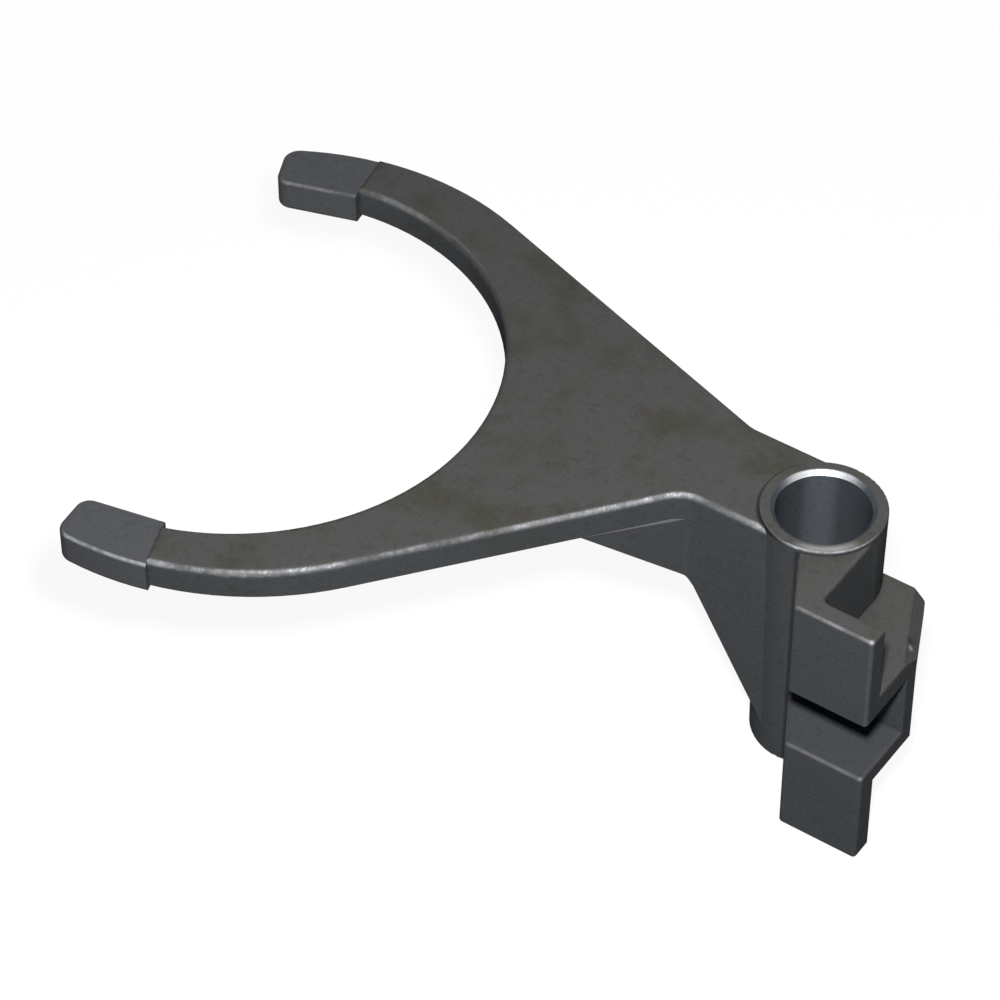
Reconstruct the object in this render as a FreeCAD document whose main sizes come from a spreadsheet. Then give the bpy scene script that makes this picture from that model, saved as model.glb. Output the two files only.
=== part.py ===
import FreeCAD, Part
import Sketcher
import math
import os

# Transmission shift fork, one casting in millimetres.
# Origin on the axis of the rail bore, in the plane of the machined ring face at its top.
# +Z runs up the bore, +X runs along the neck away from the fork, +Y is the far side of the neck.

os.makedirs("parts", exist_ok=True)
doc = FreeCAD.newDocument("shift_fork")

# Driving sizes: name, value in millimetres or degrees, meaning.
SIZES = [
    ("hub_diameter", 25.3, "outer diameter of the hub at the ring face"),
    ("hub_foot_diameter", 24.0, "outer diameter of the hub at its foot, less by the casting draft"),
    ("bore_diameter", 19.1, "bore, a running fit on a 19.05 rail"),
    ("hub_length", 61.3, "ring face to the bottom face of the hub"),
    ("bore_chamfer", 0.85, "chamfer at both mouths of the bore"),
    ("hub_edge_round", 0.4, "round on the outer edge of both ring faces"),
    ("plate_drop", 0.8, "ring face down to the top of the plate"),
    ("plate_thickness", 6.6, "fork plate, top to bottom"),
    ("plate_edge_round", 1.5, "round on the edges of the plate"),
    ("neck_near_y", -11.2, "near side of the neck"),
    ("neck_far_y", 12.3, "far side of the neck"),
    ("neck_corner_round", 7.0, "round in plan where the neck meets a flank"),
    ("fork_centre_x", -120.7, "centre of the fork opening"),
    ("fork_centre_y", -26.0, "centre of the fork opening"),
    ("opening_radius", 52.7, "cast radius of the fork opening"),
    ("outer_radius", 63.15, "outer radius of the tines"),
    ("outer_shift", 4.3, "outer circle set towards the hub so the tines taper"),
    ("outer_side_shift", 0.35, "outer circle set towards the far side"),
    ("neck_far_end_x", -23.8, "where the far flank leaves the neck"),
    ("neck_near_end_x", -24.8, "where the near flank leaves the neck"),
    ("taper_axis_angle", 16.7, "direction in which the outer circle is set"),
    ("pad_axis_angle", 14.8, "line half way between the two pads"),
    ("mouth_half_angle", 76.2, "outer tip corner of each pad from the mouth line"),
    ("pad_tip_inner_angle", 75.2, "inner tip corner of each pad from the mouth line"),
    ("pad_overlap_angle", 0.6, "how far the tine runs into the pad"),
    ("pad_root_angle", 95.0, "root step of each pad from the mouth line"),
    ("pad_middle_angle", 87.0, "middle of each pad from the mouth line"),
    ("pad_inner_distance", 50.6, "flat inner face of the pad from the opening centre"),
    ("pad_outer_proud", 0.3, "pad outside the tine"),
    ("pad_top_drop", 1.3, "ring face down to the top of the pads"),
    ("pad_thickness", 7.4, "pad, top to bottom"),
    ("pad_edge_round", 0.9, "round on the long edges of the pad"),
    ("pad_inner_corner", 3.0, "round of the inner tip corner"),
    ("pad_outer_corner", 3.5, "round of the outer tip corner"),
    ("gusset_proud", 0.9, "gusset outside the flank of the plate"),
    ("gusset_corner_round", 1.6, "round in plan where the gusset turns along the neck"),
    ("gusset_tip_x", -38.0, "where the sloping underside leaves the plate"),
    ("gusset_knee_x", -21.9, "underside where the slope steepens"),
    ("gusset_knee_z", -25.2, "underside where the slope steepens"),
    ("gusset_foot_x", -1.3, "where the underside runs into the hub"),
    ("gusset_foot_z", -60.1, "where the underside runs into the hub"),
    ("cheek_thickness", 5.0, "side walls of the gusset"),
    ("gate_top_drop", 0.9, "ring face down to the top of the gate block"),
    ("gate_bottom_drop", 62.8, "ring face down to the bottom of the gate block"),
    ("gate_root_x", 1.2, "slanted face where it leaves the hub"),
    ("gate_root_y", -11.35, "slanted face where it leaves the hub"),
    ("gate_corner_x", 8.8, "slanted face where it meets the near face"),
    ("gate_near_y", -25.2, "near face of both ears"),
    ("gate_right_x", 26.3, "right face of the gate block"),
    ("arm_right_x", 12.4, "right face of the arm between hub and ear"),
    ("arm_end_y", -1.0, "end of the arm inside the wall of the hub"),
    ("arm_bottom_drop", 60.8, "ring face down to the underside of the arm"),
    ("upper_ear_thickness", 4.5, "upper ear"),
    ("lower_ear_thickness", 4.8, "lower ear"),
    ("shelf_top_drop", 19.1, "ring face down to the top of the upper shelf"),
    ("slot_top_drop", 24.2, "ring face down to the roof of the finger slot"),
    ("slot_height", 15.1, "finger slot, roof to floor"),
    ("floor_thickness", 4.2, "lower shelf, the floor of the slot"),
    ("wall_near_y", -9.75, "near face of the wall at the back of the slot"),
    ("wall_far_y", -6.3, "far face of that wall"),
    ("shelf_far_x", 19.7, "cut corner of the upper shelf"),
    ("shelf_far_y", 7.9, "far edge of the upper shelf"),
    ("shelf_bevel", 2.3, "bevel along the cut corner of the upper shelf"),
    ("gate_edge_round", 0.9, "round on the outer edges of the gate block"),
    ("gate_inner_round", 1.8, "round in the inner corners of the two windows"),
    ("past_the_stock", 20.0, "how far a cutting outline runs past the metal"),
    ("cut_overrun", 1.0, "how far a cut runs out below the metal"),
]

sheet = doc.addObject("Spreadsheet::Sheet", "sizes")
for row, (name, value, meaning) in enumerate(SIZES, start=1):
    sheet.set("A%d" % row, name)
    sheet.set("B%d" % row, str(value))
    sheet.set("C%d" % row, meaning)
    sheet.setAlias("B%d" % row, name)
doc.recompute()


def size(name):
    """Expression text that reads one driving size."""
    return "sizes." + name


def new_body(name, label):
    body = doc.addObject("PartDesign::Body", name)
    body.Label = label
    body.Placement = FreeCAD.Placement()
    return body


def new_sketch(body, name, role, offset=None):
    """Sketch on an origin plane; offset binds parts of its attachment to expressions."""
    sketch = body.newObject("Sketcher::SketchObject", name)
    plane = [item for item in body.Origin.OriginFeatures if item.Role == role][0]
    sketch.AttachmentSupport = [(plane, "")]
    sketch.MapMode = "FlatFace"
    for path, expression in (offset or {}).items():
        sketch.setExpression("AttachmentOffset." + path, expression)
    doc.recompute()
    return sketch


def number(sketch, expression):
    """Present value of an expression, as a plain number."""
    value = sketch.evalExpression(expression)
    return float(getattr(value, "Value", value))


def bind(sketch, constraint, expression):
    """Add a size constraint and tie it to its expression."""
    index = sketch.addConstraint(constraint)
    sketch.setExpression("Constraints[%d]" % index, expression)


def pin(sketch, item, end, corner):
    """Hold one end point of an outline at a corner given by two expressions."""
    for kind, expression in (("DistanceX", corner[0]), ("DistanceY", corner[1])):
        value = number(sketch, expression)
        bind(sketch, Sketcher.Constraint(kind, -1, 1, item, end, value), expression)


def straight_outline(sketch, corners):
    """Closed outline of straight sides through corners given as expression pairs."""
    points = [FreeCAD.Vector(number(sketch, x), number(sketch, y), 0) for x, y in corners]
    count = len(points)
    sides = []
    for index in range(count):
        line = Part.LineSegment(points[index], points[(index + 1) % count])
        sides.append(sketch.addGeometry(line, False))
    for index in range(count):
        sketch.addConstraint(
            Sketcher.Constraint("Coincident", sides[index], 2, sides[(index + 1) % count], 1))
    for side, corner in zip(sides, corners):
        pin(sketch, side, 1, corner)
    doc.recompute()


def pad(body, sketch, name, length, downwards=True):
    feature = body.newObject("PartDesign::Pad", name)
    feature.Profile = sketch
    feature.Reversed = downwards
    feature.setExpression("Length", length)
    body.Tip = feature
    doc.recompute()
    return feature


def pocket(body, sketch, name, length, downwards=True):
    feature = body.newObject("PartDesign::Pocket", name)
    feature.Profile = sketch
    feature.Reversed = not downwards
    feature.setExpression("Length", length)
    before = body.Shape.Volume
    body.Tip = feature
    doc.recompute()
    assert feature.Shape.Volume < before, name + " cuts nothing"
    return feature


def edges_where(feature, test):
    """Names of the edges of a feature whose bounding box passes the test."""
    names = []
    for place, edge in enumerate(feature.Shape.Edges, start=1):
        if test(edge, edge.BoundBox):
            names.append("Edge%d" % place)
    assert names, "no edge found on " + feature.Name
    return names


def round_edges(body, base, name, radius, test):
    feature = body.newObject("PartDesign::Fillet", name)
    feature.Base = (base, edges_where(base, test))
    feature.setExpression("Radius", radius)
    body.Tip = feature
    doc.recompute()
    return feature


# Edges are told apart by their place: TIGHT is the slack for one that lies where it should,
# CLEAR is the least that tells two different ones apart.
TIGHT = 0.01
CLEAR = 1.0


def near(first, second):
    return abs(first - second) < TIGHT


def level(box, z):
    """True for an edge that lies in the plane at height z."""
    return near(box.ZMin, z) and near(box.ZMax, z)


def upright(edge):
    """True for a straight edge parallel to Z."""
    box = edge.BoundBox
    return box.XLength < TIGHT and box.YLength < TIGHT and box.ZLength > CLEAR


def stands_at(*spots):
    """Test for an upright edge that stands at one of some points in plan."""
    return lambda edge, box: upright(edge) and any(
        near(box.XMin, spot.x) and near(box.YMin, spot.y) for spot in spots)


# Heights used to find edges.
value_of = {name: value for name, value, meaning in SIZES}
plate_top = -value_of["plate_drop"]
plate_bottom = plate_top - value_of["plate_thickness"]
gate_top = -value_of["gate_top_drop"]
gate_bottom = -value_of["gate_bottom_drop"]
slot_floor = -value_of["slot_top_drop"] - value_of["slot_height"]

# Fork plate: each flank leaves a corner of the neck and runs tangent into the outer circle
# of the tines. That circle is centred a little towards the hub, so each tine thins to its tip.
axis = size("taper_axis_angle")
outer_x = "(%s + %s * cos(%s) - %s * sin(%s))" % (
    size("fork_centre_x"), size("outer_shift"), axis, size("outer_side_shift"), axis)
outer_y = "(%s + %s * sin(%s) + %s * cos(%s))" % (
    size("fork_centre_y"), size("outer_shift"), axis, size("outer_side_shift"), axis)
neck_far_y = size("neck_far_y")
neck_near_y = size("neck_near_y")


def flank_normal(corner_x, corner_y, sign):
    """Direction from the outer centre to the point where a line from a corner touches the circle."""
    across = "(%s - %s)" % (corner_x, outer_x)
    up = "(%s - %s)" % (corner_y, outer_y)
    turn = "acos(%s / hypot(%s; %s))" % (size("outer_radius"), across, up)
    return "(atan2(%s; %s) %s %s)" % (up, across, sign, turn)


far_normal = flank_normal(size("neck_far_end_x"), neck_far_y, "+")
near_normal = flank_normal(size("neck_near_end_x"), neck_near_y, "-")


def flank_x(normal, radius, y):
    """X where a flank, tangent to the outer circle of that radius, crosses height y."""
    return "%s + (%s - (%s - %s) * sin(%s)) / cos(%s)" % (
        outer_x, radius, y, outer_y, normal, normal)


def flank_y(normal, radius, x):
    """Y where the same flank crosses x."""
    return "%s + (%s - (%s - %s) * cos(%s)) / sin(%s)" % (
        outer_y, radius, x, outer_x, normal, normal)


plate = new_body("plate_body", "fork plate")
plate_sketch = new_sketch(plate, "plate_outline", "XY_Plane", {"Base.z": "-" + size("plate_drop")})
outer = size("outer_radius")
corners = [
    (size("neck_far_end_x"), neck_far_y),
    ("0", neck_far_y),
    ("0", neck_near_y),
    (size("neck_near_end_x"), neck_near_y),
]
neck_corners = [FreeCAD.Vector(number(plate_sketch, x), number(plate_sketch, y), 0)
                for x, y in corners]
middle = FreeCAD.Vector(number(plate_sketch, outer_x), number(plate_sketch, outer_y), 0)
radius_now = number(plate_sketch, outer)
far_angle = math.radians(number(plate_sketch, far_normal))
near_angle = math.radians(number(plate_sketch, near_normal))
far_touch = middle + radius_now * FreeCAD.Vector(math.cos(far_angle), math.sin(far_angle), 0)
near_touch = middle + radius_now * FreeCAD.Vector(math.cos(near_angle), math.sin(near_angle), 0)
chain = [far_touch] + neck_corners + [near_touch]
sides = []
for first, second in zip(chain[:-1], chain[1:]):
    sides.append(plate_sketch.addGeometry(Part.LineSegment(first, second), False))
full_circle = Part.Circle(middle, FreeCAD.Vector(0, 0, 1), radius_now)
arc = plate_sketch.addGeometry(
    Part.ArcOfCircle(full_circle, far_angle, near_angle + 2 * math.pi), False)
for first, second in zip(sides[:-1], sides[1:]):
    plate_sketch.addConstraint(Sketcher.Constraint("Coincident", first, 2, second, 1))
for side, corner in zip(sides[1:], corners):
    pin(plate_sketch, side, 1, corner)
pin(plate_sketch, arc, 3, (outer_x, outer_y))
bind(plate_sketch, Sketcher.Constraint("Radius", arc, radius_now), outer)
plate_sketch.addConstraint(Sketcher.Constraint("Tangent", arc, 1, sides[0], 1))
plate_sketch.addConstraint(Sketcher.Constraint("Tangent", arc, 2, sides[-1], 2))
doc.recompute()
plate_pad = pad(plate, plate_sketch, "plate_pad", size("plate_thickness"))

# Opening and mouth: the outline stands on the opening centre, turned to the pad axis.
fork_frame = {
    "Base.x": size("fork_centre_x"),
    "Base.y": size("fork_centre_y"),
    "Rotation.Angle": size("pad_axis_angle") + " * 1 deg",
}
opening_sketch = new_sketch(plate, "opening_outline", "XY_Plane", fork_frame)
end_angle = "(180 - %s + %s)" % (size("pad_root_angle"), size("pad_overlap_angle"))
reach = "(%s + %s)" % (outer, size("past_the_stock"))
opening = size("opening_radius")
edge_points = [
    ("%s * cos(%s)" % (opening, end_angle), "%s * sin(%s)" % (opening, end_angle)),
    ("%s * cos(%s)" % (reach, end_angle), "%s * sin(%s)" % (reach, end_angle)),
    ("-" + reach, "%s * sin(%s)" % (reach, end_angle)),
    ("-" + reach, "-%s * sin(%s)" % (reach, end_angle)),
    ("%s * cos(%s)" % (reach, end_angle), "-%s * sin(%s)" % (reach, end_angle)),
    ("%s * cos(%s)" % (opening, end_angle), "-%s * sin(%s)" % (opening, end_angle)),
]
points = [FreeCAD.Vector(number(opening_sketch, x), number(opening_sketch, y), 0)
          for x, y in edge_points]
sides = []
for first, second in zip(points[:-1], points[1:]):
    sides.append(opening_sketch.addGeometry(Part.LineSegment(first, second), False))
opening_now = number(opening_sketch, opening)
full_circle = Part.Circle(FreeCAD.Vector(), FreeCAD.Vector(0, 0, 1), opening_now)
half_sweep = math.radians(number(opening_sketch, end_angle))
arc = opening_sketch.addGeometry(Part.ArcOfCircle(full_circle, -half_sweep, half_sweep), False)
for first, second in zip(sides[:-1], sides[1:]):
    opening_sketch.addConstraint(Sketcher.Constraint("Coincident", first, 2, second, 1))
for side, corner in zip(sides[1:], edge_points[1:-1]):
    pin(opening_sketch, side, 1, corner)
opening_sketch.addConstraint(Sketcher.Constraint("Coincident", arc, 3, -1, 1))
bind(opening_sketch, Sketcher.Constraint("Radius", arc, opening_now), opening)
opening_sketch.addConstraint(Sketcher.Constraint("Coincident", arc, 2, sides[0], 1))
opening_sketch.addConstraint(Sketcher.Constraint("Coincident", arc, 1, sides[-1], 2))
opening_sketch.addConstraint(Sketcher.Constraint("PointOnObject", -1, 1, sides[0]))
opening_sketch.addConstraint(Sketcher.Constraint("PointOnObject", -1, 1, sides[-1]))
doc.recompute()
opening_cut = pocket(plate, opening_sketch, "opening_cut",
                     "%s + %s + %s" % (size("plate_drop"), size("plate_thickness"), size("cut_overrun")))

# Large rounds in plan where the flanks meet the neck, then the small rounds of the cast edges.
neck_turns = stands_at(neck_corners[0], neck_corners[-1])
neck_fillet = round_edges(plate, opening_cut, "neck_fillet", size("neck_corner_round"), neck_turns)
tine_end_turn = FreeCAD.Rotation(FreeCAD.Vector(0, 0, 1), value_of["pad_axis_angle"])


def free_top_edge(edge, box):
    """Top edges of the plate, but not the straight ends of the tines under the pads."""
    along_end = False
    if isinstance(edge.Curve, Part.Line):
        for sign in (1, -1):
            turn = math.degrees(sign * half_sweep)
            end_line = tine_end_turn.multVec(FreeCAD.Vector(math.cos(turn), math.sin(turn), 0))
            along_end = along_end or edge.Curve.Direction.cross(end_line).Length < TIGHT
    return level(box, plate_top) and not near(box.XMin, 0) and not along_end


plate_fillet = round_edges(plate, neck_fillet, "plate_fillet", size("plate_edge_round"), free_top_edge)

# Tip pads: flat running faces that stand proud of the tine on all four sides.
# Each is drawn on the opening centre, so both come from the same angles.
tip_angle = "(180 - %s)" % size("mouth_half_angle")
inner_tip_angle = "(180 - %s)" % size("pad_tip_inner_angle")
root_angle = "(180 - %s)" % size("pad_root_angle")
middle_angle = "(180 - %s)" % size("pad_middle_angle")
pad_radius = "(%s + %s)" % (outer, size("pad_outer_proud"))


def outer_reach(angle):
    """Distance from the opening centre to the shifted outer circle along an angle."""
    shift = size("outer_shift")
    return "(%s * cos(%s) + sqrt(%s^2 - (%s * sin(%s))^2))" % (shift, angle, pad_radius, shift, angle)


def inner_reach(angle):
    """Distance from the opening centre to the flat inner face along an angle."""
    return "(%s / cos(%s - %s))" % (size("pad_inner_distance"), angle, middle_angle)


def tip_pad(name, label, sign):
    body = new_body(name + "_body", label)
    frame = dict(fork_frame)
    frame["Base.z"] = "-" + size("pad_top_drop")
    sketch = new_sketch(body, name + "_outline", "XY_Plane", frame)
    corners = []
    for distance, angle in (
            (outer_reach(tip_angle), tip_angle),
            (inner_reach(inner_tip_angle), inner_tip_angle),
            (inner_reach(root_angle), root_angle),
            (outer_reach(root_angle), root_angle)):
        corners.append(("%s * cos(%s)" % (distance, angle), "%s%s * sin(%s)" % (sign, distance, angle)))
    points = [FreeCAD.Vector(number(sketch, x), number(sketch, y), 0) for x, y in corners]
    sides = []
    for first, second in zip(points[:-1], points[1:]):
        sides.append(sketch.addGeometry(Part.LineSegment(first, second), False))
    centre = FreeCAD.Vector(number(sketch, size("outer_shift")), 0, 0)
    circle = Part.Circle(centre, FreeCAD.Vector(0, 0, 1), number(sketch, pad_radius))
    root_turn = math.atan2(points[-1].y, points[-1].x - centre.x)
    tip_turn = math.atan2(points[0].y, points[0].x - centre.x)
    start, end = sorted((root_turn, tip_turn))
    arc = sketch.addGeometry(Part.ArcOfCircle(circle, start, end), False)
    for first, second in zip(sides[:-1], sides[1:]):
        sketch.addConstraint(Sketcher.Constraint("Coincident", first, 2, second, 1))
    root_end = 1 if start == root_turn else 2
    sketch.addConstraint(Sketcher.Constraint("Coincident", arc, root_end, sides[-1], 2))
    sketch.addConstraint(Sketcher.Constraint("Coincident", arc, 3 - root_end, sides[0], 1))
    for side, corner in zip(sides, corners[:-1]):
        pin(sketch, side, 1, corner)
    pin(sketch, sides[-1], 2, corners[-1])
    bind(sketch, Sketcher.Constraint("Radius", arc, number(sketch, pad_radius)), pad_radius)
    doc.recompute()
    block = pad(body, sketch, name + "_pad", size("pad_thickness"))
    turn = FreeCAD.Rotation(FreeCAD.Vector(0, 0, 1), value_of["pad_axis_angle"])
    centre = FreeCAD.Vector(value_of["fork_centre_x"], value_of["fork_centre_y"], 0)
    outer_tip = centre + turn.multVec(points[0])
    inner_tip = centre + turn.multVec(points[1])

    outer_round = round_edges(
        body, block, name + "_outer_corner", size("pad_outer_corner"), stands_at(outer_tip))
    inner_round = round_edges(
        body, outer_round, name + "_inner_corner", size("pad_inner_corner"), stands_at(inner_tip))
    root_spots = [centre + turn.multVec(points[2]), centre + turn.multVec(points[3])]
    root_middle = 0.5 * (root_spots[0] + root_spots[1])
    pad_top = -value_of["pad_top_drop"]
    pad_bottom = pad_top - value_of["pad_thickness"]

    def free_edge(edge, box):
        away = edge.CenterOfMass - root_middle
        at_root = math.hypot(away.x, away.y) < CLEAR
        return (level(box, pad_top) or level(box, pad_bottom)) and not at_root

    round_edges(body, inner_round, name + "_edges", size("pad_edge_round"), free_edge)
    return body


far_pad = tip_pad("far_pad", "far tip pad", "")
near_pad = tip_pad("near_pad", "near tip pad", "-")

# Gusset: its sides follow the neck and flanks, its underside slopes from the plate to the hub foot.
# A recess from below leaves two side cheeks of even thickness.
gusset = new_body("gusset_body", "gusset")
plate_underside = "(%s + %s)" % (size("plate_drop"), size("plate_thickness"))
gusset_sketch = new_sketch(gusset, "gusset_outline", "XY_Plane", {"Base.z": "-" + plate_underside})


def gusset_corners(radius, tip_radius, neck_offset, left_x, right_x):
    """Plan corners of a wedge with its flanks at a given radius about the outer circle.
    The radius at its tip may differ, so that the wedge grows out of the flank."""
    far_y = "(%s - %s)" % (neck_far_y, neck_offset)
    close_y = "(%s + %s)" % (neck_near_y, neck_offset)
    return [
        (left_x, flank_y(near_normal, tip_radius, left_x)),
        (flank_x(near_normal, radius, close_y), close_y),
        (right_x, close_y),
        (right_x, far_y),
        (flank_x(far_normal, radius, far_y), far_y),
        (left_x, flank_y(far_normal, tip_radius, left_x)),
    ]


gusset_radius = "(%s + %s)" % (outer, size("gusset_proud"))
gusset_outline = gusset_corners(gusset_radius, outer, "0", size("gusset_tip_x"), "0")
straight_outline(gusset_sketch, gusset_outline)
gusset_pad = pad(gusset, gusset_sketch, "gusset_pad", "-%s" % size("gusset_foot_z"))
gusset_turns = [FreeCAD.Vector(number(gusset_sketch, x), number(gusset_sketch, y), 0)
                for x, y in (gusset_outline[1], gusset_outline[4])]
gusset_round = round_edges(
    gusset, gusset_pad, "gusset_corner_round", size("gusset_corner_round"), stands_at(*gusset_turns))
beside_all = "(4 * %s)" % size("past_the_stock")
slope_sketch = new_sketch(gusset, "slope_profile", "XZ_Plane", {"Base.z": "-" + beside_all})
left_of_all = "(%s - %s)" % (size("gusset_tip_x"), size("past_the_stock"))
below_all = "(%s - %s)" % (size("gusset_foot_z"), size("past_the_stock"))
straight_outline(slope_sketch, [
    (left_of_all, "-" + plate_underside),
    (size("gusset_tip_x"), "-" + plate_underside),
    (size("gusset_knee_x"), size("gusset_knee_z")),
    (size("gusset_foot_x"), size("gusset_foot_z")),
    (size("gusset_foot_x") + " + " + size("past_the_stock"), size("gusset_foot_z")),
    (size("gusset_foot_x") + " + " + size("past_the_stock"), below_all),
    (left_of_all, below_all),
])
slope_cut = pocket(gusset, slope_sketch, "slope_cut", "2 * " + beside_all, downwards=False)
recess_sketch = new_sketch(gusset, "recess_outline", "XY_Plane", {"Base.z": "-" + plate_underside})
recess_radius = "(%s - %s)" % (gusset_radius, size("cheek_thickness"))
recess_left = "(%s + %s)" % (size("gusset_tip_x"), size("cheek_thickness"))
straight_outline(recess_sketch, gusset_corners(
    recess_radius, recess_radius, size("cheek_thickness"), recess_left, "0"))
recess_cut = pocket(gusset, recess_sketch, "recess_cut", "-%s" % size("gusset_foot_z"))

# Gate block: one outline from top to bottom, then two windows and the finger slot between them.
gate = new_body("gate_body", "gate block")
gate_sketch = new_sketch(gate, "gate_outline", "XY_Plane", {"Base.z": "-" + size("gate_top_drop")})
inside_hub = "(%s / 3)" % size("hub_diameter")  # an x well within the metal of the tube
arm_end_y = size("arm_end_y")
straight_outline(gate_sketch, [
    (size("gate_root_x"), size("gate_root_y")),
    (size("gate_corner_x"), size("gate_near_y")),
    (size("gate_right_x"), size("gate_near_y")),
    (size("gate_right_x"), size("wall_far_y")),
    (size("arm_right_x"), size("wall_far_y")),
    (size("arm_right_x"), arm_end_y),
    (inside_hub, arm_end_y),
])
gate_height = "%s - %s" % (size("gate_bottom_drop"), size("gate_top_drop"))
gate_pad = pad(gate, gate_sketch, "gate_pad", gate_height)
shelf_sketch = new_sketch(gate, "shelf_outline", "XY_Plane", {"Base.z": "-" + size("shelf_top_drop")})
straight_outline(shelf_sketch, [
    (inside_hub, size("wall_near_y")),
    (size("gate_right_x"), size("wall_near_y")),
    (size("gate_right_x"), size("wall_far_y")),
    (size("shelf_far_x"), size("shelf_far_y")),
    (inside_hub, size("shelf_far_y")),
])
shelf_thickness = "%s - %s" % (size("slot_top_drop"), size("shelf_top_drop"))
shelf_pad = pad(gate, shelf_sketch, "shelf_pad", shelf_thickness)


def window(name, top, ear_thickness, depth):
    """Open window behind an ear, to the right of the arm."""
    sketch = new_sketch(gate, name + "_outline", "XY_Plane", {"Base.z": "-" + top})
    inner_y = "(%s + %s)" % (size("gate_near_y"), ear_thickness)
    far_right = "(%s + %s)" % (size("gate_right_x"), size("past_the_stock"))
    straight_outline(sketch, [
        (size("arm_right_x"), inner_y),
        (far_right, inner_y),
        (far_right, size("past_the_stock")),
        (size("arm_right_x"), size("past_the_stock")),
    ])
    return pocket(gate, sketch, name + "_cut", depth)


upper_window = window("upper_window", size("gate_top_drop"), size("upper_ear_thickness"),
                      "%s - %s" % (size("shelf_top_drop"), size("gate_top_drop")))
floor_bottom = "(%s + %s + %s)" % (size("slot_top_drop"), size("slot_height"), size("floor_thickness"))
lower_window = window("lower_window", floor_bottom, size("lower_ear_thickness"),
                      "%s - %s + %s" % (size("gate_bottom_drop"), floor_bottom, size("cut_overrun")))

# The arm stops level with the foot of the hub; only the lower ear hangs below it.
relief_sketch = new_sketch(gate, "relief_outline", "XY_Plane", {"Base.z": "-" + size("arm_bottom_drop")})
ear_back_y = "(%s + %s)" % (size("gate_near_y"), size("lower_ear_thickness"))
straight_outline(relief_sketch, [
    ("-" + size("past_the_stock"), ear_back_y),
    (size("arm_right_x"), ear_back_y),
    (size("arm_right_x"), size("past_the_stock")),
    ("-" + size("past_the_stock"), size("past_the_stock")),
])
relief_cut = pocket(gate, relief_sketch, "relief_cut",
                    "%s - %s + %s" % (size("gate_bottom_drop"), size("arm_bottom_drop"), size("cut_overrun")))
slot_sketch = new_sketch(gate, "slot_outline", "XY_Plane", {"Base.z": "-" + size("slot_top_drop")})
far_right = "(%s + %s)" % (size("gate_right_x"), size("past_the_stock"))
front = "(%s - %s)" % (size("gate_near_y"), size("past_the_stock"))
straight_outline(slot_sketch, [
    ("-" + size("past_the_stock"), front),
    (far_right, front),
    (far_right, size("wall_near_y")),
    ("-" + size("past_the_stock"), size("wall_near_y")),
])
slot_cut = pocket(gate, slot_sketch, "slot_cut", size("slot_height"))

hub_radius = value_of["hub_diameter"] / 2
shelf_top = -value_of["shelf_top_drop"]
wall_face = value_of["wall_near_y"]
ear_backs = [FreeCAD.Vector(value_of["arm_right_x"], value_of["gate_near_y"] + value_of[thickness], 0)
             for thickness in ("upper_ear_thickness", "lower_ear_thickness")]


def outside_hub(edge):
    middle = edge.CenterOfMass
    return math.hypot(middle.x, middle.y) > hub_radius + CLEAR


def block_corner(edge, box):
    """Upright corners of the near face and of the cut corner of the shelf."""
    at_near_face = near(box.YMin, value_of["gate_near_y"])
    at_shelf_cut = near(box.YMin, value_of["shelf_far_y"])
    return upright(edge) and outside_hub(edge) and (at_near_face or at_shelf_cut)


def outer_rim(height):
    """Every edge of the block at one height, outside the hub."""
    return lambda edge, box: level(box, height) and outside_hub(edge)


def floor_rim(edge, box):
    """Open edges of the slot floor: slanted, near and right, not its line with the wall."""
    along_wall = box.YMax > wall_face + TIGHT or near(box.YMin, wall_face)
    return level(box, slot_floor) and outside_hub(edge) and not along_wall


def shelf_corner(edge, box):
    """Slanted top edge where the corner of the upper shelf is cut."""
    slanted = near(box.XMax, value_of["gate_right_x"]) and box.XLength > CLEAR
    return level(box, shelf_top) and slanted and box.YMax > value_of["wall_far_y"] + CLEAR


def shelf_rim(edge, box):
    """Right edge of the upper shelf, beyond the ear."""
    at_right = near(box.XMin, value_of["gate_right_x"]) and box.YLength > CLEAR
    return level(box, shelf_top) and at_right


def outer_edge(edge, box):
    """All the outer edges of the block that the casting leaves round."""
    tests = (block_corner, outer_rim(gate_top), outer_rim(gate_bottom), floor_rim, shelf_rim)
    return any(test(edge, box) for test in tests)


window_corners = round_edges(
    gate, slot_cut, "window_corners", size("gate_inner_round"), stands_at(*ear_backs))
shelf_bevel = gate.newObject("PartDesign::Chamfer", "shelf_bevel")
shelf_bevel.Base = (window_corners, edges_where(window_corners, shelf_corner))
shelf_bevel.setExpression("Size", size("shelf_bevel"))
gate.Tip = shelf_bevel
doc.recompute()
gate_edges = round_edges(gate, shelf_bevel, "gate_edges", size("gate_edge_round"), outer_edge)

# Hub tube: the finished casting joins every body above to it, then the bore runs through all.
fork = new_body("shift_fork", "shift_fork")
hub_sketch = new_sketch(fork, "hub_profile", "XZ_Plane")
straight_outline(hub_sketch, [
    ("0", "0"),
    (size("hub_diameter") + " / 2", "0"),
    (size("hub_foot_diameter") + " / 2", "-" + size("hub_length")),
    ("0", "-" + size("hub_length")),
])
hub_turned = fork.newObject("PartDesign::Revolution", "hub_tube")
hub_turned.Profile = hub_sketch
hub_turned.ReferenceAxis = (hub_sketch, ["V_Axis"])
hub_turned.Angle = 360
fork.Tip = hub_turned
doc.recompute()
hub_round = round_edges(
    fork, hub_turned, "hub_round", size("hub_edge_round"),
    lambda edge, box: level(box, 0) or level(box, -value_of["hub_length"]))
join = fork.newObject("PartDesign::Boolean", "joined_casting")
join.Type = "Fuse"
join.setObjects([plate, far_pad, near_pad, gusset, gate])
join.Refine = True
fork.Tip = join
doc.recompute()

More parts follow.
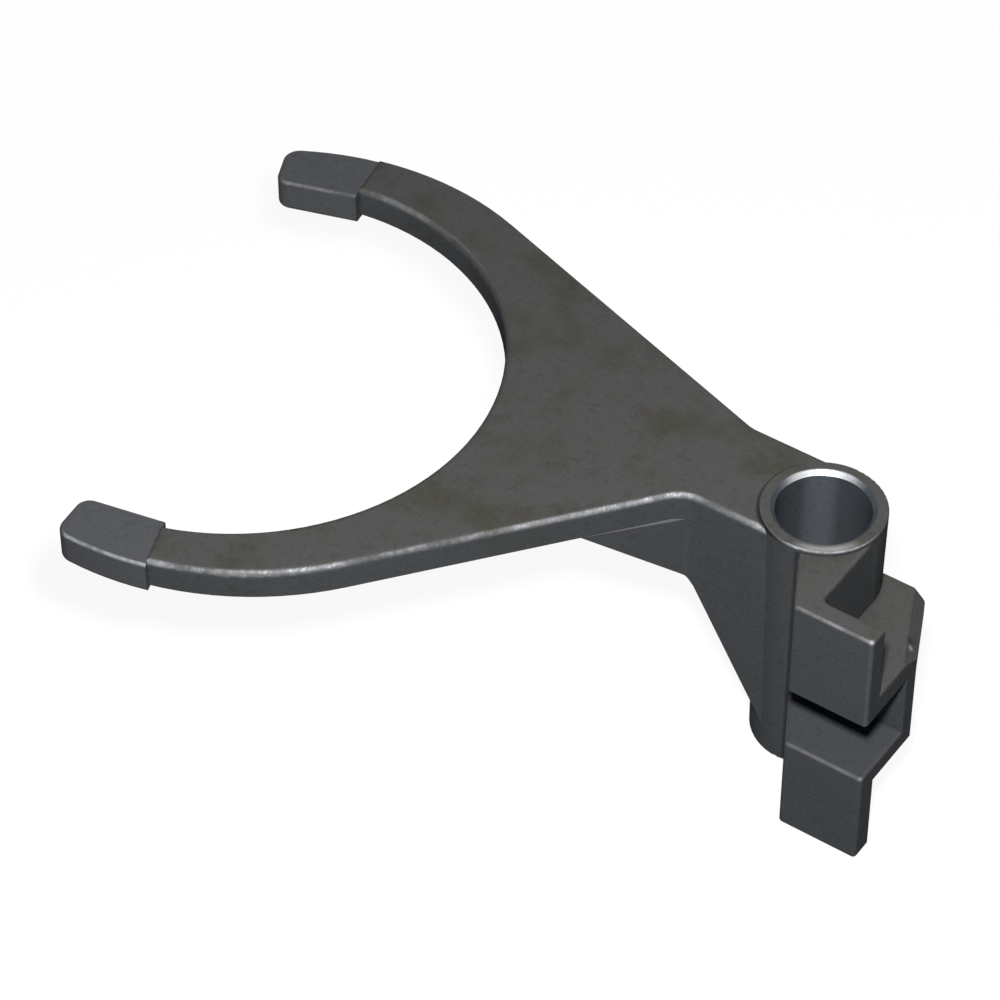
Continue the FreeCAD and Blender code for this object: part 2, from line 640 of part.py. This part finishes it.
bore_radius = "(%s / 2)" % size("bore_diameter")
mouth_radius = "(%s + %s)" % (bore_radius, size("bore_chamfer"))
bore_sketch = new_sketch(fork, "bore_profile", "XZ_Plane")
straight_outline(bore_sketch, [
    ("0", size("past_the_stock")),
    (mouth_radius, size("past_the_stock")),
    (mouth_radius, "0"),
    (bore_radius, "-" + size("bore_chamfer")),
    (bore_radius, "%s - %s" % (size("bore_chamfer"), size("hub_length"))),
    (mouth_radius, "-" + size("hub_length")),
    (mouth_radius, "-%s - %s" % (size("hub_length"), size("past_the_stock"))),
    ("0", "-%s - %s" % (size("hub_length"), size("past_the_stock"))),
])
bore = fork.newObject("PartDesign::Groove", "rail_bore")
bore.Profile = bore_sketch
bore.ReferenceAxis = (bore_sketch, ["V_Axis"])
bore.Angle = 360
fork.Tip = bore
doc.recompute()

for item in doc.Objects:
    if "Invalid" in item.State or "Error" in item.State:
        raise RuntimeError(item.Name + " did not build")
for body in (plate, far_pad, near_pad, gusset, gate, fork):
    if body.Shape.isNull() or not body.Shape.isValid():
        raise RuntimeError(body.Name + " is not a valid solid")
fork.Shape.exportStep("parts/shift_fork.step")
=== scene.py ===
import math

import bpy
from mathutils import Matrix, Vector


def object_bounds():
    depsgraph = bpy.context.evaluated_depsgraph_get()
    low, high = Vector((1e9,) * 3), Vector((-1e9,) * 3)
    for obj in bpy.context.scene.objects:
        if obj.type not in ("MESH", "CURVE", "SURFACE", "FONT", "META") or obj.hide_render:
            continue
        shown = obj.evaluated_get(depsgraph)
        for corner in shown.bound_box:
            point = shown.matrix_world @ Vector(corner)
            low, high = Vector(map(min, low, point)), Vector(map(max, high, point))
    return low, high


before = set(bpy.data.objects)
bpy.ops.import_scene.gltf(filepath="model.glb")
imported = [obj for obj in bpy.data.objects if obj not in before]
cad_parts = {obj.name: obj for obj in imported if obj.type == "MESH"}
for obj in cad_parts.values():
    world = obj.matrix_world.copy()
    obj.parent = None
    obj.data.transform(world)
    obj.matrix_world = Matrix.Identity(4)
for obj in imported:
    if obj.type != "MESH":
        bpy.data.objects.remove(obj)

cad_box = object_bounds()


# The casting: one piece of cast iron, blasted, left bare and lightly oiled.
# The bore, the two tip pads and the finger slot are machined afterwards.
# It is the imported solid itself, so only its finish is made here.
MM = 0.001
FORK_CENTRE = (-120.7 * MM, -26.0 * MM, 0.0)
BORE_RADIUS = 9.55 * MM
RING_RADIUS = 12.65 * MM


def add_node(tree, kind, settings=None, **inputs):
    """A shader node with its settings and its input values or links.
    An input is named by its label, with _ for a space, or by i and its number."""
    node = tree.nodes.new(kind)
    for name, value in (settings or {}).items():
        setattr(node, name, value)
    for name, value in inputs.items():
        numbered = name[0] == "i" and name[1:].isdigit()
        socket = node.inputs[int(name[1:])] if numbered else node.inputs[name.replace("_", " ")]
        if isinstance(value, bpy.types.NodeSocket):
            tree.links.new(value, socket)
        else:
            socket.default_value = value
    return node


def math_step(tree, operation, first, second=0.0, third=0.0):
    """One arithmetic step between numbers or links."""
    node = add_node(tree, "ShaderNodeMath", {"operation": operation}, i0=first, i1=second, i2=third)
    return node.outputs[0]


def plus_share(tree, start, share, amount):
    """The start plus the share times the amount."""
    return math_step(tree, "MULTIPLY_ADD", share, amount, start)


def product(tree, *factors):
    """Product of several numbers or links."""
    result = factors[0]
    for factor in factors[1:]:
        result = math_step(tree, "MULTIPLY", result, factor)
    return result


def largest(tree, *values):
    """Largest of several numbers or links."""
    result = values[0]
    for value in values[1:]:
        result = math_step(tree, "MAXIMUM", result, value)
    return result


def without_sign(tree, value):
    """A number without its sign."""
    return math_step(tree, "ABSOLUTE", value)


def coordinates_of(tree, vector):
    """The three coordinates of a vector."""
    return add_node(tree, "ShaderNodeSeparateXYZ", Vector=vector).outputs


def along(tree, place, direction):
    """How far a place lies along a direction, in metres."""
    node = add_node(tree, "ShaderNodeVectorMath", {"operation": "DOT_PRODUCT"},
                    i0=place, i1=direction)
    return node.outputs["Value"]


def from_point(tree, place, centre):
    """Distance from a point in metres."""
    node = add_node(tree, "ShaderNodeVectorMath", {"operation": "DISTANCE"}, i0=place, i1=centre)
    return node.outputs["Value"]


def ramp(tree, value, low, high):
    """Smooth step from 0 at low to 1 at high; it falls where low is above high."""
    node = add_node(tree, "ShaderNodeMapRange", {"interpolation_type": "SMOOTHSTEP"},
                    Value=value, From_Min=low, From_Max=high)
    return node.outputs[0]


def band(tree, value, foot, low, high, end):
    """1 from low to high, falling smoothly to 0 at the foot below and at the end above."""
    return product(tree, ramp(tree, value, foot, low), ramp(tree, value, end, high))


def from_axis(tree, place):
    """Distance from the axis of the bore in metres."""
    level = add_node(tree, "ShaderNodeVectorMath", {"operation": "MULTIPLY"},
                     i0=place, i1=(1.0, 1.0, 0.0))
    return from_point(tree, level.outputs[0], (0.0, 0.0, 0.0))


def spots(tree, place, width, detail, low, high):
    """Noise with features of a given width in metres, where low..high becomes 0..1."""
    noise = add_node(tree, "ShaderNodeTexNoise", Vector=place, Scale=1.0 / width, Detail=detail)
    return ramp(tree, noise.outputs["Fac"], low, high)


def spot_at(tree, place, centre, width):
    """1 at a point, falling to 0 at a distance of half the width."""
    return ramp(tree, from_point(tree, place, centre), width * 0.5, 0.0)


def blend_colour(tree, share, first, second):
    """Colour between two colours or links by a share from 0 to 1."""
    node = add_node(tree, "ShaderNodeMix", {"data_type": "RGBA"}, i0=share, i6=first, i7=second)
    return node.outputs[2]


# The machined faces. A STEP, here and below, has the value where a share is still 0, then the
# one where it is 1. A BAND has the foot, the low, the high and the end of a share.
PAD_AXIS_TURN = math.radians(14.8)
PAD_ROOT_SLOPE = math.tan(math.radians(5.0))
PAD_ROOT_STEP = (-0.2 * MM, 0.2 * MM)
BORE_STEP = (BORE_RADIUS + 1.1 * MM, BORE_RADIUS + 0.7 * MM)
SLOT_X_STEP = (0.5 * MM, 1.0 * MM)
SLOT_WALL_STEP = (-9.45 * MM, -9.65 * MM)
SLOT_HEIGHT_BAND = (-39.6 * MM, -39.4 * MM, -24.1 * MM, -23.9 * MM)


def machined_shares(tree, place, radius):
    """1 on the tip pads, on the bore and on the three faces of the slot, one number for each.
    The root of a pad lies 95 degrees from the mouth of the fork, 5 back from a right angle."""
    x, y, z = coordinates_of(tree, place)
    turned = add_node(tree, "ShaderNodeMapping", {"vector_type": "TEXTURE"}, Vector=place,
                      Location=FORK_CENTRE, Rotation=(0.0, 0.0, PAD_AXIS_TURN))
    towards_hub, sideways, _ = coordinates_of(tree, turned.outputs[0])
    beyond_root = plus_share(tree, product(tree, towards_hub, -1.0), without_sign(tree, sideways),
                             PAD_ROOT_SLOPE)
    pads = ramp(tree, beyond_root, *PAD_ROOT_STEP)
    bore = ramp(tree, radius, *BORE_STEP)
    slot = product(tree, band(tree, z, *SLOT_HEIGHT_BAND), ramp(tree, y, *SLOT_WALL_STEP),
                   ramp(tree, x, *SLOT_X_STEP))
    return pads, bore, slot


# Painted highlights on the iron. How far round the hub a point lies is told by the cosine of its
# angle from the direction below, which looks near and right, towards the camera; the near arc of
# the ring face and the far arc of the chamfer are lightened there as painted highlights.
HIGHLIGHT_SIDE = (0.567, -0.824, 0.0)
RING_ARC_STEP = (0.80, 1.0)
RING_FACE_BAND = (RING_RADIUS - 2.4 * MM, RING_RADIUS - 1.2 * MM,
                  RING_RADIUS - 0.8 * MM, RING_RADIUS)
RING_TOP_STEP = (-0.7 * MM, -0.4 * MM)
RING_HIGHLIGHT = 0.28
CHAMFER_ARC_STEP = (-0.68, -0.97)
CHAMFER_STEP = (BORE_RADIUS + 1.2 * MM, BORE_RADIUS + 0.8 * MM)
CHAMFER_TOP_STEP = (-1.0 * MM, -0.8 * MM)
CHAMFER_HIGHLIGHT = 0.62
# The arc down the far side of the bore, facing the camera, that gets a painted highlight streak.
BORE_STREAK_ARC_STEP = (-0.90, -1.0)
# Painted highlights at two corners of the ears and one of the upper shelf.
CORNER_HIGHLIGHTS = (
    # place, width of the bright spot, how bright
    ((25.9 * MM, -24.8 * MM, -1.2 * MM), 1.9 * MM, 0.26),
    ((25.9 * MM, -24.8 * MM, -39.6 * MM), 1.5 * MM, 0.16),
    ((24.85 * MM, -5.7 * MM, -19.5 * MM), 2.3 * MM, 0.60),
)


def painted_highlight_shares(tree, place, radius):
    """How far painted highlights lighten the iron: on the near arc of the ring face, on the far arc
    of the bore's chamfer, and at three corners. A second number is 1 down the far side of the bore,
    where a lighter streak is painted as a highlight."""
    around = math_step(tree, "DIVIDE", along(tree, place, HIGHLIGHT_SIDE), radius)
    z = coordinates_of(tree, place)[2]
    ring = product(tree, ramp(tree, around, *RING_ARC_STEP), RING_HIGHLIGHT,
                   band(tree, radius, *RING_FACE_BAND), ramp(tree, z, *RING_TOP_STEP))
    chamfer = product(tree, ramp(tree, around, *CHAMFER_ARC_STEP), CHAMFER_HIGHLIGHT,
                      ramp(tree, radius, *CHAMFER_STEP), ramp(tree, z, *CHAMFER_TOP_STEP))
    corner_highlights = [product(tree, spot_at(tree, place, centre, width), shine)
              for centre, width, shine in CORNER_HIGHLIGHTS]
    bore_streak = ramp(tree, around, *BORE_STREAK_ARC_STEP)
    return largest(tree, ring, chamfer, *corner_highlights), bore_streak


# Wear with a painted highlight on the outer edges that look up and near. It is patchy, with painted
# glints in it, weaker along the neck, the flank and the ears, least low down and inside the fork's
# opening, and none on the bevelled corner of the upper shelf. NEAR and RIGHT steps read the normal,
# whose y and x tell how far a face looks that way.
TURNING_BAND = (0.15, 0.62, 0.84, 0.99)
EDGE_NEAR_STEP = (0.10, -0.35)
EDGE_RIGHT_STEP = (-0.32, -0.06)
BEVEL_X_STEP = (19.4 * MM, 19.6 * MM)
BEVEL_Y_STEP = (-8.6 * MM, -8.4 * MM)
HEIGHT_STEP = (-34 * MM, -26 * MM)
OPENING_STEP = (54.5 * MM, 55.5 * MM)
RUBBED_AND_HIGHLIT_SPOTS = (14 * MM, 2.0, 0.34, 0.62)
GLINT_SPOTS = (1.6 * MM, 2.0, 0.40, 0.66)
NECK_BAND = (-25 * MM, -18 * MM, -11 * MM, -7 * MM)
FLANK_BAND = (-95 * MM, -80 * MM, -40 * MM, -30 * MM)
EARS_STEP = (3 * MM, 6 * MM)
NECK_LOSS = -0.50
FLANK_LOSS = -0.40
EARS_LOSS = -0.45
HIDDEN_WEAR_AND_HIGHLIGHT = 0.35
REACHED_WEAR_AND_HIGHLIGHT = 0.65
EDGE_WEAR_AND_HIGHLIGHT = 0.13
GLINT_HIGHLIGHT = 0.32
RUBBED_WEAR_AND_HIGHLIGHT = 0.50
EAR_NEAR_STEP = (-0.20, -0.50)
EAR_RIGHT_STEP = (0.20, 0.50)
EAR_X_STEP = (0.0, 5 * MM)
EAR_BACK_STEP = (-20 * MM, -21 * MM)
EAR_CORNER_HIGHLIGHT = 0.05


def edge_wear_and_highlight(tree, place, normal):
    """How far the outer edges carry wear and a painted highlight: most where the surface turns from
    level to upright, and a faint painted highlight down the upright corners of the ears."""
    x, y, z = coordinates_of(tree, place)
    face_x, face_y, face_z = coordinates_of(tree, normal)
    height = ramp(tree, z, *HEIGHT_STEP)
    turning = product(tree, band(tree, face_z, *TURNING_BAND), ramp(tree, face_y, *EDGE_NEAR_STEP),
                      ramp(tree, face_x, *EDGE_RIGHT_STEP))
    bevel = product(tree, ramp(tree, x, *BEVEL_X_STEP), ramp(tree, y, *BEVEL_Y_STEP))
    left_over = plus_share(tree, 1.0, band(tree, x, *NECK_BAND), NECK_LOSS)
    left_over = plus_share(tree, left_over, band(tree, x, *FLANK_BAND), FLANK_LOSS)
    left_over = plus_share(tree, left_over, ramp(tree, x, *EARS_STEP), EARS_LOSS)
    reached = product(tree, height, ramp(tree, from_point(tree, place, FORK_CENTRE), *OPENING_STEP))
    patchy = plus_share(tree, EDGE_WEAR_AND_HIGHLIGHT, spots(tree, place, *GLINT_SPOTS), GLINT_HIGHLIGHT)
    patchy = plus_share(tree, patchy, spots(tree, place, *RUBBED_AND_HIGHLIT_SPOTS), RUBBED_WEAR_AND_HIGHLIGHT)
    edges = product(tree, turning, math_step(tree, "SUBTRACT", 1.0, bevel), left_over,
                    plus_share(tree, HIDDEN_WEAR_AND_HIGHLIGHT, reached, REACHED_WEAR_AND_HIGHLIGHT), patchy)
    ear_corners = product(tree, ramp(tree, face_x, *EAR_RIGHT_STEP),
                          ramp(tree, face_y, *EAR_NEAR_STEP), ramp(tree, y, *EAR_BACK_STEP),
                          ramp(tree, x, *EAR_X_STEP), height)
    return largest(tree, edges, product(tree, ear_corners, EAR_CORNER_HIGHLIGHT))


# Painted shade in the corners, darker where an occlusion test finds them closed in: a little in all
# of them, more round the foot of the raised ring towards the neck, in the upright corner where the
# slanted face of the gate block leaves the hub, and in the nick at the edge of the upper shelf.
CREASE_REACH = 2.2 * MM
CREASE_SAMPLES = 8
CREASE_STEP = (0.70, 0.34)
CREASE_SHADE = 0.6
RING_FOOT_BAND = (RING_RADIUS - 0.3 * MM, RING_RADIUS - 0.1 * MM,
                  RING_RADIUS + 0.2 * MM, RING_RADIUS + 0.7 * MM)
RING_FOOT_TOP_STEP = (-1.2 * MM, -1.0 * MM)
RING_FOOT_X_STEP = (-1 * MM, -5 * MM)
RING_FOOT_SHADE = 0.7
BLOCK_FACE = (-0.877, -0.481, 0.0)
BLOCK_FACE_OFFSET = 4.41 * MM
BLOCK_FACE_STEP = (0.9 * MM, 0.3 * MM)
BLOCK_CORNER_BAND = (-14.2 * MM, -13.4 * MM, -11.0 * MM, -10.4 * MM)
BLOCK_CORNER_TOP_STEP = (-0.8 * MM, -1.2 * MM)
BLOCK_CORNER_SHADE = 0.5
NICK = (23.8 * MM, -4.3 * MM, -19.3 * MM)
NICK_WIDTH = 2.8 * MM
NICK_SHADE = 0.8


def painted_shade_share(tree, place, radius, ledge):
    """How far painted shade darkens the iron. The ledge on top of the gusset carries a painted
    highlight, and the occlusion shade leaves it out.
    """
    x, y, z = coordinates_of(tree, place)
    openness = add_node(tree, "ShaderNodeAmbientOcclusion",
                        {"samples": CREASE_SAMPLES, "only_local": True}, Distance=CREASE_REACH)
    crease = product(tree, ramp(tree, openness.outputs["AO"], *CREASE_STEP),
                     math_step(tree, "SUBTRACT", 1.0, ledge))
    ring_foot = product(tree, band(tree, radius, *RING_FOOT_BAND),
                        ramp(tree, z, *RING_FOOT_TOP_STEP), ramp(tree, x, *RING_FOOT_X_STEP))
    from_face = math_step(tree, "SUBTRACT", along(tree, place, BLOCK_FACE), BLOCK_FACE_OFFSET)
    block_corner = product(tree, ramp(tree, without_sign(tree, from_face), *BLOCK_FACE_STEP),
                           band(tree, y, *BLOCK_CORNER_BAND), ramp(tree, z, *BLOCK_CORNER_TOP_STEP))
    nick = spot_at(tree, place, NICK, NICK_WIDTH)
    return largest(tree, product(tree, crease, CREASE_SHADE),
                   product(tree, ring_foot, RING_FOOT_SHADE),
                   product(tree, block_corner, BLOCK_CORNER_SHADE), product(tree, nick, NICK_SHADE))


# Colours of the skin and of the machined faces, and the spots in them. The upright faces and the
# slot get darker, bluer colours as painted shade. A SPOTS row has the width of the spots, their
# detail, and the two noise levels that become 0 and 1.
SKIN_GREY = (0.098, 0.098, 0.096, 1.0)
SKIN_OLIVE = (0.080, 0.078, 0.064, 1.0)
SKIN_BROWN = (0.086, 0.077, 0.069, 1.0)
# A darker, bluer colour for the upright faces: painted shade.
SHADED_SIDE_BLUE = (0.073, 0.081, 0.092, 1.0)
MACHINED_GREY = (0.104, 0.107, 0.114, 1.0)
# A darker grey for the machined slot faces: painted shade in the slot.
SHADED_SLOT_GREY = (0.080, 0.085, 0.097, 1.0)
BORE_BLUE = (0.076, 0.087, 0.101, 1.0)
# A lighter, bluer colour for the painted highlight streak down the bore.
BORE_HIGHLIGHT = (0.128, 0.142, 0.165, 1.0)
# Near black for the pits and specks in the skin, and for the painted shade in the corners.
DIRT_AND_SHADE = (0.020, 0.020, 0.018, 1.0)
OLIVE_SPOTS = (16 * MM, 3.0, 0.48, 0.70)
BROWN_SPOTS = (7 * MM, 4.0, 0.52, 0.74)
PIT_SPOTS = (1.8 * MM, 1.0, 0.52, 0.80)
SPECK_SPOTS = (0.9 * MM, 2.0, 0.35, 0.65)
UPRIGHT_STEP = (0.60, 0.30)
BROWN_SHARE = 0.6
SIDE_SHADE_SHARE = 0.65
PIT_SHARE = 0.14
SPECK_SHARE = 0.08


def clean_colour(tree, place, face_z, machined, bore, slot, bore_streak):
    """Colour of the iron before wear: mottled skin, darker and bluer on upright faces as painted
    shade, greyer where machined, darker in the slot as painted shade, and lighter down the
    bore's far side as a painted highlight.
    """
    upright = ramp(tree, without_sign(tree, face_z), *UPRIGHT_STEP)
    colour = blend_colour(tree, spots(tree, place, *OLIVE_SPOTS), SKIN_GREY, SKIN_OLIVE)
    brown = product(tree, spots(tree, place, *BROWN_SPOTS), BROWN_SHARE)
    colour = blend_colour(tree, brown, colour, SKIN_BROWN)
    # Upright faces get a darker, bluer colour: painted shade.
    colour = blend_colour(tree, product(tree, upright, SIDE_SHADE_SHARE), colour, SHADED_SIDE_BLUE)
    colour = blend_colour(tree, machined, colour, MACHINED_GREY)
    # The slot's faces are darker: painted shade in the slot.
    colour = blend_colour(tree, slot, colour, SHADED_SLOT_GREY)
    # Down the far side of the bore a lighter colour is blended in as a painted highlight streak.
    colour = blend_colour(tree, bore, colour, blend_colour(tree, bore_streak, BORE_BLUE, BORE_HIGHLIGHT))
    pits = product(tree, spots(tree, place, *PIT_SPOTS), PIT_SHARE)
    colour = blend_colour(tree, pits, colour, DIRT_AND_SHADE)
    specks = product(tree, spots(tree, place, *SPECK_SPOTS), SPECK_SHARE)
    return blend_colour(tree, specks, colour, DIRT_AND_SHADE)


# The whole finish. The studio is white in every reflection and would wash the iron out, so it
# has no plain gloss: it shines by a small metallic share, larger on the edges with wear and a
# painted highlight, and under the other painted highlights. The ledge is the level top of the
# gusset, which stands a little outside the plate's flank; it gets a painted highlight along it.
WORN_AND_HIGHLIT_GREY = (0.42, 0.43, 0.46, 1.0)
HIGHLIGHT_WHITE = (0.86, 0.87, 0.90, 1.0)
LEVEL_STEP = (0.80, 0.95)
LEDGE_BAND = (-7.6 * MM, -7.5 * MM, -7.3 * MM, -7.2 * MM)
LEDGE_HIGHLIGHT = 0.3
GRAIN_SPOTS = (0.5 * MM, 2.0, 0.30, 0.70)
ROUGHNESS = 0.40
GRAIN_ROUGHNESS = 0.12
MACHINED_ROUGHNESS = -0.10
SKIN_METAL = 0.03
MACHINED_METAL = 0.03
WORN_AND_HIGHLIT_METAL = 0.45
BORE_METAL = 0.18
HIGHLIGHT_METAL = 0.85
CUTTER_PITCH = 0.5 * MM
CUTTER_RELIEF = 0.4
GRAIN_LOSS = -0.8
BUMP_STRENGTH = 0.5
BUMP_HEIGHT = 0.08 * MM


def cast_iron_finish():
    """Cast iron: blasted skin with a fine grain, smooth machined faces with fine turning marks
    in the bore, wear and painted highlights on the edges, painted shade in the corners, the slot
    and the upright faces, and painted highlights on the ring, the chamfer, three corners and the
    bore."""
    material = bpy.data.materials.new("cast_iron_skin")
    material.use_nodes = True
    tree = material.node_tree
    shader = tree.nodes["Principled BSDF"]
    coordinates = add_node(tree, "ShaderNodeTexCoord")
    place = coordinates.outputs["Object"]
    normal = coordinates.outputs["Normal"]
    z = coordinates_of(tree, place)[2]
    face_z = coordinates_of(tree, normal)[2]
    radius = from_axis(tree, place)
    pads, bore, slot = machined_shares(tree, place, radius)
    machined = largest(tree, pads, bore, slot)
    bright, bore_streak = painted_highlight_shares(tree, place, radius)
    ledge = product(tree, ramp(tree, face_z, *LEVEL_STEP), band(tree, z, *LEDGE_BAND))
    # Wear and painted highlights on the edges, and a painted highlight along the ledge.
    worn_and_highlit = largest(tree, edge_wear_and_highlight(tree, place, normal), product(tree, ledge, LEDGE_HIGHLIGHT))

    colour = clean_colour(tree, place, face_z, machined, bore, slot, bore_streak)
    colour = blend_colour(tree, worn_and_highlit, colour, WORN_AND_HIGHLIT_GREY)
    # Painted shade in the corners.
    colour = blend_colour(tree, painted_shade_share(tree, place, radius, ledge), colour, DIRT_AND_SHADE)
    # Painted highlights: near white on the ring, the chamfer and three corners.
    colour = blend_colour(tree, bright, colour, HIGHLIGHT_WHITE)
    tree.links.new(colour, shader.inputs["Base Color"])

    grain = spots(tree, place, *GRAIN_SPOTS)
    rough = plus_share(tree, ROUGHNESS, grain, GRAIN_ROUGHNESS)
    rough = plus_share(tree, rough, machined, MACHINED_ROUGHNESS)
    tree.links.new(rough, shader.inputs["Roughness"])
    metal = plus_share(tree, SKIN_METAL, machined, MACHINED_METAL)
    metal = plus_share(tree, metal, worn_and_highlit, WORN_AND_HIGHLIT_METAL)
    metal = largest(tree, metal, product(tree, bore, BORE_METAL),
                    product(tree, bright, HIGHLIGHT_METAL))
    tree.links.new(metal, shader.inputs["Metallic"])
    shader.inputs["Specular IOR Level"].default_value = 0.0

    turning_marks = math_step(tree, "SINE", product(tree, z, math.tau / CUTTER_PITCH))
    relief = product(tree, grain, plus_share(tree, 1.0, machined, GRAIN_LOSS))
    relief = plus_share(tree, relief, product(tree, turning_marks, bore), CUTTER_RELIEF)
    bump = add_node(tree, "ShaderNodeBump",
                    Strength=BUMP_STRENGTH, Distance=BUMP_HEIGHT, Height=relief)
    tree.links.new(bump.outputs[0], shader.inputs["Normal"])
    return material


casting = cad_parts["shift_fork"]
iron = cast_iron_finish()
for slot in casting.material_slots:
    slot.material = iron


# The floor and the background: a plain pale sheet that keeps the casting's soft shadow.
# It looks white to the camera and in reflections, and gives the casting little light back.
FLOOR_DROP = 0.2 * MM
FLOOR_HALF = 3.0
FLOOR_GLOW = 0.92
SHEET_GREY = (0.12, 0.12, 0.12, 1.0)
FILL_LIGHT = (0.020, 0.027, 0.038, 1.0)
WHITE = (1.0, 1.0, 1.0, 1.0)


def seen_directly(tree):
    """1 for a ray from the camera, a reflection or a transmission, 0 for diffuse light."""
    path = add_node(tree, "ShaderNodeLightPath").outputs
    return largest(tree, path["Is Camera Ray"], path["Is Glossy Ray"], path["Is Transmission Ray"])


def pale_sheet_finish():
    """Diffuse grey for the light that falls on it, lifted to white where it is seen."""
    material = bpy.data.materials.new("pale_sheet")
    material.use_nodes = True
    tree = material.node_tree
    tree.nodes.remove(tree.nodes["Principled BSDF"])
    dull = add_node(tree, "ShaderNodeBsdfDiffuse", Color=SHEET_GREY)
    strength = product(tree, seen_directly(tree), FLOOR_GLOW)
    glow = add_node(tree, "ShaderNodeEmission", Color=WHITE, Strength=strength)
    both = add_node(tree, "ShaderNodeAddShader", i0=dull.outputs[0], i1=glow.outputs[0])
    tree.links.new(both.outputs[0], tree.nodes["Material Output"].inputs["Surface"])
    return material


floor_z = cad_box[0].z - FLOOR_DROP
floor_mesh = bpy.data.meshes.new("floor")
floor_mesh.from_pydata(
    [(x * FLOOR_HALF, y * FLOOR_HALF, floor_z) for x, y in ((-1, -1), (1, -1), (1, 1), (-1, 1))],
    [], [(0, 1, 2, 3)])
floor = bpy.data.objects.new("floor", floor_mesh)
bpy.context.scene.collection.objects.link(floor)
floor.data.materials.append(pale_sheet_finish())

world = bpy.data.worlds.new("studio")
bpy.context.scene.world = world
world.use_nodes = True
surroundings = blend_colour(world.node_tree, seen_directly(world.node_tree), FILL_LIGHT, WHITE)
world.node_tree.links.new(surroundings, world.node_tree.nodes["Background"].inputs["Color"])


# Light: a small soft lamp beside the camera, a little higher, as near as a flash would be.
# A large weak one stands low in front, as bluish as daylight from a window, and a large one
# behind, so low that it lights little but the upright faces there. All aim at the gate block.
LAMP_AIM = Vector((0.017, -0.017, -0.030))
LAMPS = (
    # name, direction, distance, width, power, colour
    ("key", (0.255, -0.530, 0.808), 0.56, 0.05, 3.55, (1.0, 0.99, 0.97)),
    ("window", (-0.35, -0.85, 0.38), 1.30, 0.50, 0.4, (0.40, 0.68, 1.0)),
    ("back", (-0.50, 0.86, 0.10), 1.20, 0.80, 9.0, (0.95, 0.97, 1.0)),
)
for name, direction, distance, width, power, colour in LAMPS:
    lamp = bpy.data.lights.new(name, "AREA")
    lamp.shape = "DISK"
    lamp.size = width
    lamp.energy = power
    lamp.color = colour
    holder = bpy.data.objects.new(name, lamp)
    towards = Vector(direction).normalized()
    holder.location = LAMP_AIM + towards * distance
    holder.rotation_mode = "QUATERNION"
    holder.rotation_quaternion = towards.to_track_quat("Z", "Y")
    holder.visible_camera = False
    bpy.context.scene.collection.objects.link(holder)


# Camera: a long lens, looking down from the near right corner.
# Its direction is a turn about the bore's axis and a rise above the floor.
CAMERA_PLACE = (0.2860, -0.5257, 0.5894)
CAMERA_LENS = 156.1
CAMERA_SENSOR = 36.0
CAMERA_TURN = math.radians(34.55)
CAMERA_RISE = math.radians(44.63)
away = Vector((
    math.sin(CAMERA_TURN) * math.cos(CAMERA_RISE),
    -math.cos(CAMERA_TURN) * math.cos(CAMERA_RISE),
    math.sin(CAMERA_RISE)))
lens = bpy.data.cameras.new("camera")
lens.lens = CAMERA_LENS
lens.sensor_width = CAMERA_SENSOR
camera = bpy.data.objects.new("camera", lens)
camera.location = CAMERA_PLACE
camera.rotation_mode = "QUATERNION"
camera.rotation_quaternion = (-away).to_track_quat("-Z", "Y")
bpy.context.scene.collection.objects.link(camera)
bpy.context.scene.camera = camera
bpy.context.scene.view_settings.view_transform = "Standard"
